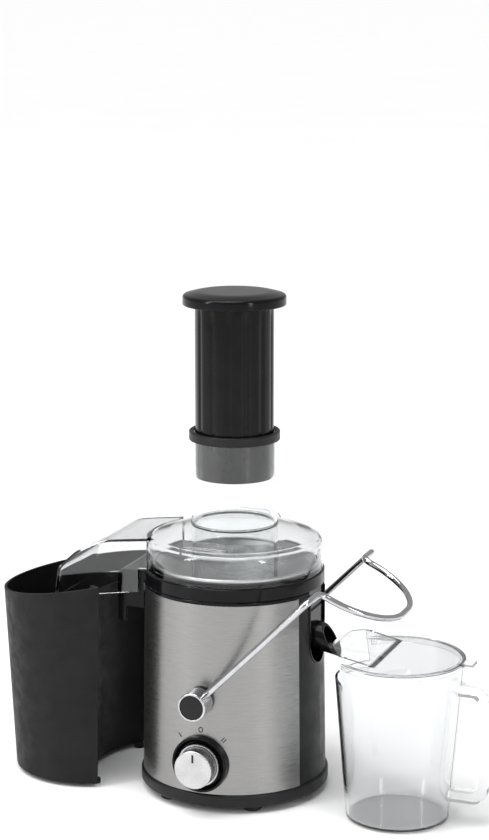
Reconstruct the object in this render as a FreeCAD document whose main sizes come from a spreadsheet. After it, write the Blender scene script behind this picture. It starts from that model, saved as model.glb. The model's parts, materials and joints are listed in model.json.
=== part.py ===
"""Centrifugal juicer: motor base, bowl, spinning filter, lid, pusher, pulp container and jug.

Millimetres. The origin is on the table under the base's vertical axis, +Z is up.
-Y is the front, with the knob. +X is the spout and jug side, -X the pulp container side.
Every size is a cell of the sheet, and every sub-part is bound to those cells.
The jug and the pulp container stand drawn away from the base, and the bail hangs open.
"""
import FreeCAD, Part
import math
import os

import Sketcher

TABLE = {
    # motor base
    "foot_height": 6, "foot_radius": 9, "foot_circle": 74, "foot_angle": 34,
    "screw_circle": 66, "mount_circle": 44, "inlet_height": 32,
    "ring_radius": 88.5, "ring_top": 18,
    "base_radius": 86, "base_top_radius": 83.4, "base_wall": 2.5, "housing_top": 196.3,
    "wrap_thickness": 0.6, "wrap_angle": 130,
    "rim_radius": 84, "rim_top": 200, "rim_height": 3.3,
    "well_radius": 78.2, "well_wall": 2.3, "well_floor": 124, "well_floor_top": 126.8,
    "slot_half_width": 21, "slot_bottom": 127, "trim_wall": 1.4,
    # front controls
    "knob_height": 47, "bezel_radius": 26.5, "bezel_back": 80, "bezel_depth": 11.5,
    "knob_radius": 18, "knob_length": 26,
    # bail and its pivots
    "pivot_height": 107, "pivot_radius": 4, "bush_radius": 9, "hub_radius": 13.3,
    "hub_start": 88.8, "hub_length": 19.5,
    "bail_rod": 3.1, "bail_leg": 149, "bail_leg_offset": 95, "bail_loop_half": 62.5,
    "bail_loop_length": 67, "bail_lean": 45, "bail_loop_droop": 25, "bail_bend": 8,
    "bail_loop_round": 56,
    # motor
    "shaft_radius": 4, "shaft_bottom": 27, "shaft_top": 137,
    "bearing_radius": 11, "bearing_height": 7, "lower_bearing": 30, "upper_bearing": 110,
    "stator_bottom": 64, "stator_top": 92, "stator_long": 76, "stator_short": 60,
    "stator_bore": 19.8, "rotor_radius": 19.2, "screw_offset": 33,
    "fan_radius": 29, "fan_bottom": 100.5, "fan_top": 106.5,
    "bracket_bottom": 108.5, "bracket_thickness": 3.5, "bracket_radius": 52,
    # drive coupling
    "coupling_bottom": 132.5, "coupling_top": 162.3, "coupling_core": 12, "tooth_reach": 17,
    "tooth_width": 5, "tooth_bottom": 150,
    # juice bowl
    "bowl_bottom": 146, "bowl_radius": 75.2, "bowl_wall": 2.2, "bowl_floor": 148.4,
    "bowl_rim_radius": 84, "bowl_rim_bottom": 200.2, "bowl_rim_top": 212, "lip_top": 213,
    "groove_outer": 81.7, "groove_inner": 76.6, "groove_floor": 202.8, "lip_inner": 74.4,
    "collar_outer": 27, "collar_inner": 25, "collar_top": 160,
    "column_half": 18.5, "column_reach": 80.5,
    "spout_radius": 13, "spout_bore": 11, "spout_length": 46, "spout_slope": 12,
    "spout_start": 66, "spout_height": 157, "spout_mouth": 98,
    "bracket_reach": 101, "bracket_half": 41, "bracket_low": 174, "bracket_high": 210,
    "bracket_wall": 2.6, "tab_low": 160, "tab_length": 8,
    # filter
    "mesh_bottom_radius": 45.3, "mesh_top_radius": 75.3, "mesh_bottom": 176,
    "mesh_top": 217, "mesh_thickness": 0.6,
    "filter_rim_radius": 76.5, "filter_rim_top": 219,
    "flange_radius": 48.2, "flange_bottom": 166.5, "flange_top": 172.5,
    "neck_radius": 44.5, "drum_radius": 32.8, "drum_wall": 2.5, "drum_bottom": 150,
    "socket_radius": 17.6, "socket_wall": 3.4, "socket_bottom": 151, "socket_top": 163.5,
    "rivet_circle": 38, "disc_radius": 40.6, "disc_bottom": 168.3, "disc_top": 170.3, "dome_radius": 25,
    "dome_top": 180,
    # lid
    "lid_radius": 82.5, "lid_wall": 2, "lid_bottom": 212.4, "lid_shoulder": 234,
    "lid_edge_radius": 74, "lid_edge_top": 243, "lid_top": 254,
    "skirt_outer": 81.2, "skirt_inner": 79, "skirt_bottom": 203.3,
    "tube_outer": 40, "tube_inner": 37.5, "tube_bottom": 179.5, "tube_top": 340,
    "chute_half": 44.5, "chute_reach": 165, "chute_low": 177, "chute_step": 79,
    "tube_ring_radius": 42, "tube_ring_bottom": 333, "tube_ring_top": 341.3,
    "fin_offset": 69, "fin_thickness": 2.2, "fin_top": 250.5, "fin_end": 21,
    # pusher, drawn most of the way up
    "pusher_radius": 36.2, "pusher_wall": 2.5, "pusher_bottom": 298, "pusher_top": 458,
    "cap_radius": 47.5, "cap_top": 470.5,
    # pulp container, drawn away from the base
    "bin_centre": 149.3, "bin_low_radius": 73, "bin_high_radius": 82.5, "bin_wall": 2.5,
    "bin_bottom": 4, "bin_top": 198, "bin_away": 48, "bin_hollow": 92, "bin_corner": 109,
    "bin_inner_rim": 173, "bin_rim_slope": 9.6, "bin_notch": 157,
    # jug, drawn away from the base
    "jug_across": 170, "jug_forward": 28, "jug_low_radius": 47, "jug_high_radius": 59.5,
    "jug_wall": 2.2, "jug_height": 150, "jug_lip": 131, "jug_lip_half": 40,
    "handle_reach": 85, "handle_high": 127, "handle_low": 27, "handle_thick": 10,
    "handle_width": 13, "jug_lid_top": 152.2, "hood_top": 162,
}

doc = FreeCAD.newDocument("centrifugal_juicer")
sheet = doc.addObject("Spreadsheet::Sheet", "Sizes")
for row, (alias, value) in enumerate(TABLE.items(), start=1):
    sheet.set(f"A{row}", alias.replace("_", " "))
    sheet.set(f"B{row}", str(value))
    sheet.setAlias(f"B{row}", alias)
doc.recompute()


class Size:
    """A size with its number and the sheet expression that gives it."""

    def __init__(self, number, text):
        self.number = number
        self.text = text

    def joined(self, other, sign, number):
        return Size(number, f"({self.text} {sign} {as_size(other).text})")

    def __add__(self, other):
        return self.joined(other, "+", self.number + as_size(other).number)

    def __sub__(self, other):
        return self.joined(other, "-", self.number - as_size(other).number)

    def __mul__(self, other):
        return self.joined(other, "*", self.number * as_size(other).number)

    def __truediv__(self, other):
        return self.joined(other, "/", self.number / as_size(other).number)

    def __neg__(self):
        return Size(-self.number, f"(0 - {self.text})")


def as_size(value):
    """The value itself when it is a Size, or a Size of a plain number."""
    if isinstance(value, Size):
        return value
    return Size(float(value), str(float(value)))


class Sheet:
    """Gives each cell of the sheet as a Size, by its alias."""

    def __getattr__(self, alias):
        return Size(float(TABLE[alias]), f"Sizes.{alias}")


size = Sheet()
nodes = {}

QUARTERS = (0, 90, 180, 270)
DIAGONALS = (45, 135, 225, 315)


def bind(item, prop, value):
    """Sets one property of an object from the sheet."""
    item.setExpression(prop, as_size(value).text)


def place(item, x=0, y=0, z=0, axis=(0, 0, 1), angle=0):
    """Turns an object about an axis through the origin, then moves it."""
    place_at = FreeCAD.Vector(*(as_size(value).number for value in (x, y, z)))
    turn = FreeCAD.Rotation(FreeCAD.Vector(*axis), angle)
    item.Placement = FreeCAD.Placement(place_at, turn)
    for letter, value in (("x", x), ("y", y), ("z", z)):
        if isinstance(value, Size):
            bind(item, f"Placement.Base.{letter}", value)
    return item


def keep(item, name):
    """Names a finished sub-part and lists it for export."""
    item.Label = name
    nodes[name] = item
    return item


# ---------------------------------------------------------------- solids from the Part tools

def cylinder(name, radius, length, x=0, y=0, z=0, axis=(0, 0, 1), angle=0):
    item = doc.addObject("Part::Cylinder", name)
    bind(item, "Radius", radius)
    bind(item, "Height", length)
    return place(item, x, y, z, axis, angle)


def cone(name, low_radius, high_radius, length, x=0, y=0, z=0):
    item = doc.addObject("Part::Cone", name)
    bind(item, "Radius1", low_radius)
    bind(item, "Radius2", high_radius)
    bind(item, "Height", length)
    return place(item, x, y, z)


def box(name, low, high, axis=(0, 0, 1), angle=0, at=None):
    """A box from its low to its high corner, or the same box turned and moved to a point."""
    item = doc.addObject("Part::Box", name)
    for prop, start, end in zip(("Length", "Width", "Height"), low, high):
        bind(item, prop, as_size(end) - start)
    if at is None:
        return place(item, *low)
    turn = FreeCAD.Rotation(FreeCAD.Vector(*axis), angle)
    corner = turn.multVec(FreeCAD.Vector(*(as_size(value).number for value in low)))
    x, y, z = (as_size(value) + offset for value, offset in zip(at, corner))
    return place(item, x, y, z, axis, angle)


def fuse(name, *items):
    item = doc.addObject("Part::MultiFuse", name)
    item.Shapes = list(items)
    return item


def cut(name, base, *tools):
    item = doc.addObject("Part::Cut", name)
    item.Base = base
    item.Tool = tools[0] if len(tools) == 1 else fuse(name + "_tools", *tools)
    return item


def common(name, first, second):
    item = doc.addObject("Part::Common", name)
    item.Base = first
    item.Tool = second
    return item


def group(name, *items):
    """Separate solids of one kind, kept together in one sub-part."""
    item = doc.addObject("Part::Compound", name)
    item.Links = list(items)
    return item


# ---------------------------------------------------------------- solids from sketches

def rounded_corner(before, corner, after, radius):
    """The two tangent points and the centre of an arc that rounds a corner."""
    back = (before - corner).normalize()
    ahead = (after - corner).normalize()
    half = back.getAngle(ahead) / 2
    reach = radius / math.tan(half)
    middle = (back + ahead).normalize() * (radius / math.sin(half))
    return corner + back * reach, corner + ahead * reach, corner + middle


def pin_point(sketch, geometry, end, across, up):
    """Fixes a sketch point at a distance across and up from the sketch's origin."""
    for kind, value, axis in (("DistanceX", across, -2), ("DistanceY", up, -1)):
        if as_size(value).number == 0:
            sketch.addConstraint(Sketcher.Constraint("PointOnObject", geometry, end, axis))
            continue
        rule = Sketcher.Constraint(kind, -1, 1, geometry, end, as_size(value).number)
        index = sketch.addConstraint(rule)
        if isinstance(value, Size):
            bind(sketch, f"Constraints[{index}]", value)


def outline(body, plane, name, corners):
    """A closed sketch through corners, each (across, up) or (across, up, rounding radius)."""
    sketch = body.newObject("Sketcher::SketchObject", name)
    origin = [item for item in body.Origin.OriginFeatures if item.Role == plane][0]
    sketch.AttachmentSupport = [(origin, "")]
    sketch.MapMode = "FlatFace"
    count = len(corners)
    points = [FreeCAD.Vector(as_size(c[0]).number, as_size(c[1]).number, 0) for c in corners]
    radii = [as_size(c[2]).number if len(c) > 2 else 0 for c in corners]
    starts, ends, centres = list(points), list(points), [None] * count
    for i, radius in enumerate(radii):
        if radius:
            after = points[(i + 1) % count]
            ends[i], starts[i], centres[i] = rounded_corner(points[i - 1], points[i], after, radius)
    lines = []
    for i in range(count):
        line = Part.LineSegment(starts[i], ends[(i + 1) % count])
        lines.append(sketch.addGeometry(line, False))
    for i in range(count):
        before, after = lines[i - 1], lines[i]
        if not radii[i]:
            sketch.addConstraint(Sketcher.Constraint("Coincident", before, 2, after, 1))
            pin_point(sketch, after, 1, corners[i][0], corners[i][1])
            continue
        first = (ends[i] - centres[i])
        last = (starts[i] - centres[i])
        turn = first.cross(last).z
        circle = Part.Circle(centres[i], FreeCAD.Vector(0, 0, 1), radii[i])
        low, high = (first, last) if turn > 0 else (last, first)
        low_angle = math.atan2(low.y, low.x)
        high_angle = math.atan2(high.y, high.x)
        arc = sketch.addGeometry(Part.ArcOfCircle(circle, low_angle, high_angle), False)
        entry, leave = (1, 2) if turn > 0 else (2, 1)
        corner = sketch.addGeometry(Part.Point(points[i]), True)
        sketch.addConstraint(Sketcher.Constraint("Tangent", before, 2, arc, entry))
        sketch.addConstraint(Sketcher.Constraint("Tangent", arc, leave, after, 1))
        sketch.addConstraint(Sketcher.Constraint("Radius", arc, radii[i]))
        sketch.addConstraint(Sketcher.Constraint("PointOnObject", corner, 1, before))
        sketch.addConstraint(Sketcher.Constraint("PointOnObject", corner, 1, after))
        pin_point(sketch, corner, 1, corners[i][0], corners[i][1])
    return sketch


def turned(name, corners, angle=360):
    """A body turned about Z from corners given as (radius, height)."""
    body = doc.addObject("PartDesign::Body", name)
    sketch = outline(body, "XZ_Plane", name + "_outline", corners)
    turn = body.newObject("PartDesign::Revolution", name + "_turn")
    turn.Profile = sketch
    turn.ReferenceAxis = (sketch, ["V_Axis"])
    turn.Midplane = as_size(angle).number < 360
    bind(turn, "Angle", angle)
    sketch.Visibility = False
    return body


def padded(name, plane, corners, length):
    """A body padded equally to both sides of an origin plane."""
    body = doc.addObject("PartDesign::Body", name)
    sketch = outline(body, plane, name + "_outline", corners)
    pad = body.newObject("PartDesign::Pad", name + "_pad")
    pad.Profile = sketch
    pad.Midplane = True
    bind(pad, "Length", length)
    sketch.Visibility = False
    return body


def ring(name, inner, outer, low, high):
    """A plain ring about Z."""
    return turned(name, [(inner, low), (outer, low), (outer, high), (inner, high)])


def facing_front(item, depth, height):
    """Points a body turned about Z to the front, its start at a depth from the axis."""
    return place(item, 0, -as_size(depth), height, (1, 0, 0), 90)


def facing_back(item, depth, height):
    """Points a body turned about Z to the back, its start at a depth from the axis."""
    return place(item, 0, as_size(depth), height, (1, 0, 0), -90)


def polar(radius, degrees):
    """The x and y of a point on a circle about Z."""
    angle = math.radians(degrees)
    return as_size(radius) * math.cos(angle), as_size(radius) * math.sin(angle)


# ---------------------------------------------------------------- motor base

def cross_bar(name, radius, height, start, length):
    """A cylinder along Y, for holes at the front and the back."""
    return cylinder(name, radius, length, 0, start, height, (1, 0, 0), -90)


def slot_shape(name, half_width, bottom):
    """The round-bottomed slot on the spout side, open at the top."""
    near, far = 70, 92
    middle = as_size(bottom) + half_width
    post = box(name + "_straight", (near, -as_size(half_width), middle), (far, half_width, 206))
    end = cylinder(name + "_round", half_width, far - near, near, 0, middle, (0, 1, 0), 90)
    return fuse(name, post, end)


def housing_radius(height):
    """The outer radius of the tapered housing at a height."""
    taper = (TABLE["base_top_radius"] - TABLE["base_radius"]) / (
        TABLE["housing_top"] - TABLE["ring_top"])
    return TABLE["base_radius"] + taper * (height - TABLE["ring_top"])


def build_housing():
    shell = turned("housing_shell", [
        (size.base_radius, size.ring_top),
        (size.base_top_radius, size.housing_top),
        (size.base_top_radius - size.base_wall, size.housing_top),
        (size.base_radius - size.base_wall, size.ring_top)])
    slot = slot_shape("housing_slot", size.slot_half_width, size.slot_bottom)
    pivots = cross_bar("housing_pivots", size.bush_radius, size.pivot_height, -95, 190)
    bezel = cross_bar("housing_bezel", size.bezel_radius, size.knob_height, -95, 40)
    inlet = cross_bar("housing_inlet", 7, size.inlet_height, 60, 40)
    keep(cut("housing", shell, slot, pivots, bezel, inlet), "base_housing")

    low = size.ring_top + 0.4
    outer = size.base_radius + size.wrap_thickness
    top = size.base_top_radius + size.wrap_thickness
    wrap = turned("wrap_sheet", [
        (size.base_radius + 0.02, low), (outer, low),
        (top, size.housing_top), (size.base_top_radius + 0.02, size.housing_top)],
        size.wrap_angle)
    place(wrap, angle=-90)
    front_pivot = cross_bar("wrap_pivot", size.bush_radius, size.pivot_height, -95, 40)
    front_bezel = cross_bar("wrap_bezel", size.bezel_radius, size.knob_height, -95, 40)
    keep(cut("wrap", wrap, front_pivot, front_bezel), "steel_wrap")


def build_well():
    low = size.rim_top - size.rim_height
    rim = turned("rim", [
        (size.well_radius, low), (size.rim_radius, low),
        (size.rim_radius, size.rim_top, 1.5), (size.well_radius, size.rim_top, 1.5)])
    rim_slot = box("rim_slot", (70, -size.slot_half_width, 190), (92, size.slot_half_width, 206))
    keep(cut("rim_cut", rim, rim_slot), "rim_ring")

    outer = size.well_radius + size.well_wall
    liner = turned("liner", [
        (12.2, size.well_floor), (outer, size.well_floor), (outer, low),
        (size.well_radius, low), (size.well_radius, size.well_floor_top, 3),
        (17, size.well_floor_top), (17, 131), (12.2, 131)])
    liner_slot = slot_shape("liner_slot", size.slot_half_width, size.slot_bottom)
    mounts = [cylinder("liner_mount", 2.6, 8, *polar(size.mount_circle, a), 120)
              for a in DIAGONALS]
    keep(cut("liner_cut", liner, liner_slot, *mounts), "well_liner")

    inner_half = size.slot_half_width - size.trim_wall
    channel = cut(
        "trim_channel", slot_shape("trim_outer", size.slot_half_width, size.slot_bottom),
        slot_shape("trim_inner", inner_half, size.slot_bottom + size.trim_wall))
    band = ring("trim_band", outer, size.rim_radius + 0.8, 120, low)
    keep(common("trim_cut", channel, band), "slot_trim")
    keep(turned("seal", [
        (size.shaft_radius + 0.1, 124.5), (12.1, 124.5), (12.1, 131),
        (7, 131), (size.shaft_radius + 0.1, 128)]), "shaft_seal")


def build_underside():
    tray = turned("tray", [
        (0, size.foot_height), (size.ring_radius, size.foot_height, 2.5),
        (size.ring_radius, size.ring_top, 2), (size.base_radius - 6, size.ring_top),
        (size.base_radius - 6, 9), (0, 9)])
    vents = []
    for i in range(16):
        x, y = polar(34, i * 22.5)
        vents.append(box("vent", (-6, -1.5, 0), (6, 1.5, 12), angle=i * 22.5, at=(x, y, 0)))
    holes = [cylinder("screw_hole", 2.2, 12, *polar(size.screw_circle, a), 0) for a in QUARTERS]
    keep(cut("tray_cut", tray, *vents, *holes), "bottom_cover")

    feet = []
    for a in (-90 + TABLE["foot_angle"], -90 - TABLE["foot_angle"],
              90 + TABLE["foot_angle"], 90 - TABLE["foot_angle"]):
        foot = turned("foot", [
            (0, 0), (size.foot_radius - 1, 0, 1.5), (size.foot_radius, size.foot_height),
            (0, size.foot_height)])
        feet.append(place(foot, *polar(size.foot_circle, a), 0))
    keep(group("feet", *feet), "rubber_feet")

    screws = []
    for a in QUARTERS:
        head = cylinder("head", 4, 2, 0, 0, 3.9)
        shank = cylinder("shank", 2, 15, 0, 0, 5.5)
        screws.append(place(fuse("cover_screw", head, shank), *polar(size.screw_circle, a), 0))
    keep(group("screws", *screws), "cover_screws")

    bore = cross_bar("inlet_bore", 3.6, size.inlet_height, 60, 40)
    gland = turned("gland", [
        (0, 0), (9.5, 0), (9.5, 3), (6.9, 3), (6.9, 8), (9.5, 8), (9, 13, 2), (0, 13)])
    facing_back(gland, housing_radius(TABLE["inlet_height"]) - 6.3, size.inlet_height)
    keep(cut("gland_cut", gland, bore), "cord_inlet")


def build_controls():
    bezel = turned("bezel", [
        (6, 0), (size.bezel_radius - 0.1, 0), (size.bezel_radius - 0.1, size.bezel_depth, 1.2),
        (size.bezel_radius - 2.2, size.bezel_depth), (21.4, 6.8), (6, 6.8)])
    keep(facing_front(bezel, size.bezel_back, size.knob_height), "knob_bezel")
    case = box("switch_case", (-15, -72, 32), (15, -58, 62))
    nose = cylinder("switch_nose", 5.8, 9.5, 0, -71, size.knob_height, (1, 0, 0), 90)
    bore = cylinder("switch_bore", 3.05, 30, 0, -64, size.knob_height, (1, 0, 0), 90)
    terminals = [box("terminal", (x, -59, 36), (x + 4, -52, 37)) for x in (-11, -2, 7)]
    keep(cut("switch", fuse("switch_body", case, nose, *terminals), bore), "rotary_switch")

    core = turned("knob_core", [
        (0, 7.4), (20, 7.4, 1), (20, 11.5, 1.5), (size.knob_radius - 1.2, 11.5),
        (size.knob_radius - 1.2, size.knob_length - 1.2), (0, size.knob_length - 1.2)])
    facing_front(core, size.bezel_back, size.knob_height)
    socket = cylinder("knob_socket", 2.9, 20, 0, -size.bezel_back, size.knob_height,
                      (1, 0, 0), 90)
    keep(cut("knob_body", core, socket), "knob_core")
    face = turned("face", [
        (size.knob_radius - 1.1, 13), (size.knob_radius, 13),
        (size.knob_radius, size.knob_length, 1.2), (0, size.knob_length),
        (0, size.knob_length - 1.1), (size.knob_radius - 1.1, size.knob_length - 1.1)])
    keep(facing_front(face, size.bezel_back, size.knob_height), "knob_face")
    front = size.bezel_back + size.knob_length
    keep(box("pointer", (-0.9, -(front + 0.25), size.knob_height + 7),
             (0.9, -(front + 0.02), size.knob_height + 14.5)), "knob_pointer")
    spindle = cylinder("spindle", 2.88, 34, 0, -66, size.knob_height, (1, 0, 0), 90)
    keep(spindle, "knob_spindle")


# ---------------------------------------------------------------- bail

def rod_path(points, radii):
    """A wire of straight runs, with an arc of the given radius at each inner point."""
    edges = []
    start = points[0]
    for i in range(1, len(points) - 1):
        enter, leave, centre = rounded_corner(points[i - 1], points[i], points[i + 1], radii[i])
        if (enter - start).Length > 0.01:
            edges.append(Part.makeLine(start, enter))
        middle = centre + (points[i] - centre).normalize() * radii[i]
        edges.append(Part.Arc(enter, middle, leave).toShape())
        start = leave
    edges.append(Part.makeLine(start, points[-1]))
    return Part.Wire(edges)


def bail_points():
    """The bail's route from its front hub over the loop to its rear hub."""
    lean = math.radians(TABLE["bail_lean"])
    droop = math.radians(TABLE["bail_loop_droop"])
    up = FreeCAD.Vector(math.sin(lean), 0, math.cos(lean))
    out = FreeCAD.Vector(math.cos(droop), 0, -math.sin(droop))
    pivot = FreeCAD.Vector(0, 0, TABLE["pivot_height"])
    leg = FreeCAD.Vector(0, TABLE["bail_leg_offset"], 0)
    half = FreeCAD.Vector(0, TABLE["bail_loop_half"], 0)
    top = pivot + up * TABLE["bail_leg"]
    end = top + out * TABLE["bail_loop_length"]
    foot = pivot + up * 6
    return [foot - leg, top - leg, top - half, end - half,
            end + half, top + half, top + leg, foot + leg]


def build_bail():
    points = bail_points()
    bend = TABLE["bail_bend"]
    loop = TABLE["bail_loop_round"]
    wire = rod_path(points, [0, bend, bend, loop, loop, bend, bend, 0])
    start = Part.Circle(points[0], points[1] - points[0], TABLE["bail_rod"]).toShape()
    rod = doc.addObject("Part::Feature", "bail")
    rod.Shape = wire.makePipeShell([Part.Wire([start])], True, False)
    keep(rod, "bail_rod")

    caps, pins, bushes = [], [], []
    for side, turn_to, sign in (("front", facing_front, -1), ("rear", facing_back, 1)):
        blank = turned(side + "_cup", [
            (size.pivot_radius, 0), (size.hub_radius, 0, 0.8),
            (size.hub_radius, size.hub_length, 1), (size.hub_radius - 1.8, size.hub_length),
            (size.hub_radius - 1.8, size.hub_length - 2.2),
            (size.pivot_radius, size.hub_length - 2.2)])
        turn_to(blank, size.hub_start, size.pivot_height)
        hole = cylinder(side + "_rod_hole", size.bail_rod, 20, 0, size.bail_leg_offset * sign,
                        size.pivot_height, (0, 1, 0), TABLE["bail_lean"])
        keep(cut(side + "_hub_cut", blank, hole), side + "_hub")
        cap = turned(side + "_disc", [
            (0, size.hub_length - 2.1), (size.hub_radius - 1.9, size.hub_length - 2.1),
            (size.hub_radius - 1.9, size.hub_length - 0.6, 0.5), (0, size.hub_length - 0.2)])
        caps.append(turn_to(cap, size.hub_start, size.pivot_height))
        pin = turned(side + "_pin", [
            (0, -19), (8, -19), (8, -16.8), (size.pivot_radius - 0.05, -16.8),
            (size.pivot_radius - 0.05, size.hub_length - 2.3), (0, size.hub_length - 2.3)])
        pin = turn_to(pin, size.hub_start, size.pivot_height)
        pin_hole = cylinder(side + "_pin_hole", size.bail_rod, 20, 0,
                            size.bail_leg_offset * sign, size.pivot_height,
                            (0, 1, 0), TABLE["bail_lean"])
        pins.append(cut(side + "_pin_cut", pin, pin_hole))
        bush = turned(side + "_bush", [
            (size.pivot_radius, -16), (12, -16), (12, -7.2), (size.bush_radius - 0.05, -7.2),
            (size.bush_radius - 0.05, -0.3), (size.pivot_radius, -0.3)])
        bushes.append(turn_to(bush, size.hub_start, size.pivot_height))
    keep(group("cap_pair", *caps), "hub_caps")
    keep(group("pin_pair", *pins), "pivot_pins")
    keep(group("bush_pair", *bushes), "pivot_bushes")


# ---------------------------------------------------------------- motor

def bearing(name, low):
    return turned(name, [
        (size.shaft_radius + 0.02, low), (size.bearing_radius, low),
        (size.bearing_radius, as_size(low) + size.bearing_height),
        (size.shaft_radius + 0.02, as_size(low) + size.bearing_height)])


def build_motor():
    races = [bearing("lower_race", size.lower_bearing),
             bearing("upper_race", size.upper_bearing)]
    keep(group("race_pair", *races), "motor_bearings")
    edge = size.bearing_radius + 0.02
    top = size.bracket_bottom + size.bracket_thickness
    plate = turned("upper_plate", [
        (edge, size.bracket_bottom), (size.bracket_radius, size.bracket_bottom),
        (size.bracket_radius, top), (15, top), (15, 117.5), (edge, 117.5)])
    holes = [cylinder("mount_hole", 2.6, 12, *polar(size.mount_circle, a), 105)
             for a in DIAGONALS]
    posts = [cylinder("post_hole", 2.2, 12, x, 0, 105)
             for x in (-size.screw_offset, size.screw_offset)]
    keep(cut("upper_bracket_cut", plate, *holes, *posts), "upper_bracket")

    bar = box("lower_bar", (-42, -9, 31), (42, 9, 35))
    hub = cylinder("lower_hub", 14.5, 10, 0, 0, 28)
    bore = cylinder("lower_bore", edge, 20, 0, 0, 25)
    ends = [cylinder("bar_hole", 2.2, 12, x, 0, 28)
            for x in (-size.screw_offset, size.screw_offset)]
    keep(cut("lower_bracket_cut", fuse("lower_frame", bar, hub), bore, *ends), "lower_bracket")

    screws = []
    for x in (-size.screw_offset, size.screw_offset):
        head = cylinder("stud_head", 4, 3, x, 0, 27.9)
        shank = cylinder("stud", 2, 83, x, 0, 30.8)
        screws.append(fuse("motor_screw", head, shank))
    keep(group("motor_screw_pair", *screws), "motor_screws")

    half_long = size.stator_long / 2
    half_short = size.stator_short / 2
    height = size.stator_top - size.stator_bottom
    core = padded("laminations", "XY_Plane", [
        (-half_long, -half_short, 10), (half_long, -half_short, 10),
        (half_long, half_short, 10), (-half_long, half_short, 10)], height)
    place(core, 0, 0, (size.stator_bottom + size.stator_top) / 2)
    bore = cylinder("stator_hole", size.stator_bore, 60, 0, 0, 50)
    slots = [box("coil_slot", (x, -14, 50), (x + 7, 14, 110)) for x in (-29.5, 22.5)]
    studs = [cylinder("stud_hole", 2.1, 60, x, 0, 50)
             for x in (-size.screw_offset, size.screw_offset)]
    keep(cut("stator_cut", core, bore, *slots, *studs), "stator_core")

    coils = []
    for angle in (90, 270):
        for low, high in ((54, TABLE["stator_bottom"] - 0.2), (TABLE["stator_top"] + 0.2, 99)):
            coil = turned("coil", [(21, low, 2), (29.5, low, 2), (29.5, high, 2), (21, high, 2)],
                          130)
            coils.append(place(coil, angle=angle))
    keep(group("coils", *coils), "field_windings")

    holders = []
    brushes = []
    for sign in (-1, 1):
        angle = 90 * sign
        sleeve = box("sleeve", (13, -4.5, 43.5), (32, 4.5, 51.5), angle=angle, at=(0, 0, 0))
        bore = box("sleeve_bore", (12, -3.05, 44.95), (33, 3.05, 50.05), angle=angle,
                   at=(0, 0, 0))
        leg = box("sleeve_leg", (24, -4.5, 38.2), (30, 4.5, 44), angle=angle, at=(0, 0, 0))
        holders.append(cut("brush_holder", fuse("sleeve_frame", sleeve, leg), bore))
        brushes.append(box("brush", (11.1, -3, 45), (23, 3, 50), angle=angle, at=(0, 0, 0)))
    keep(group("holders", *holders), "brush_holders")
    keep(group("brushes", *brushes), "carbon_brushes")
    keep(ring("plate_ring", 14.52, 30.6, 35.1, 38), "brush_plate")

    rubbers = []
    for a in DIAGONALS:
        rubbers.append(turned("rubber", [
            (0, 112.1), (5.5, 112.1), (5.5, 123.9), (2.4, 123.9), (2.4, 126.6), (0, 126.6)]))
        place(rubbers[-1], *polar(size.mount_circle, a), 0)
    keep(group("rubbers", *rubbers), "motor_mounts")


def build_rotor():
    keep(cylinder("shaft", size.shaft_radius, size.shaft_top - size.shaft_bottom,
                  0, 0, size.shaft_bottom), "motor_shaft")
    edge = size.shaft_radius + 0.01
    keep(ring("rotor", edge, size.rotor_radius, size.stator_bottom, size.stator_top),
         "rotor_core")
    ends = [ring("rotor_end", edge, 15, 56.5, size.stator_bottom - 0.01),
            ring("rotor_end", edge, 15, size.stator_top + 0.01, 98.5)]
    keep(group("rotor_ends", *ends), "rotor_windings")
    keep(ring("commutator_ring", edge, 11, 43, 55.5), "commutator")

    hub = ring("fan_hub", edge, 9, size.fan_bottom, size.fan_top)
    plate = ring("fan_plate", 8.5, size.fan_radius, size.fan_bottom, size.fan_bottom + 1.2)
    blades = []
    for i in range(9):
        blades.append(box("blade", (8, -0.7, size.fan_bottom), (size.fan_radius, 0.7, size.fan_top),
                          angle=i * 40, at=(0, 0, 0)))
    keep(fuse("fan", hub, plate, *blades), "cooling_fan")

    core = turned("coupling_core", [
        (edge, size.coupling_bottom), (10, size.coupling_bottom), (10, size.tooth_bottom),
        (size.coupling_core, size.tooth_bottom), (size.coupling_core, size.coupling_top, 1.5),
        (0, size.coupling_top), (0, size.shaft_top + 0.05), (edge, size.shaft_top + 0.05)])
    half = size.tooth_width / 2
    teeth = [box("tooth", (9, -half, size.tooth_bottom), (size.tooth_reach, half, 161),
                 angle=i * 60, at=(0, 0, 0)) for i in range(6)]
    keep(fuse("coupling", core, *teeth), "drive_coupling")


# ---------------------------------------------------------------- juice bowl

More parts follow.
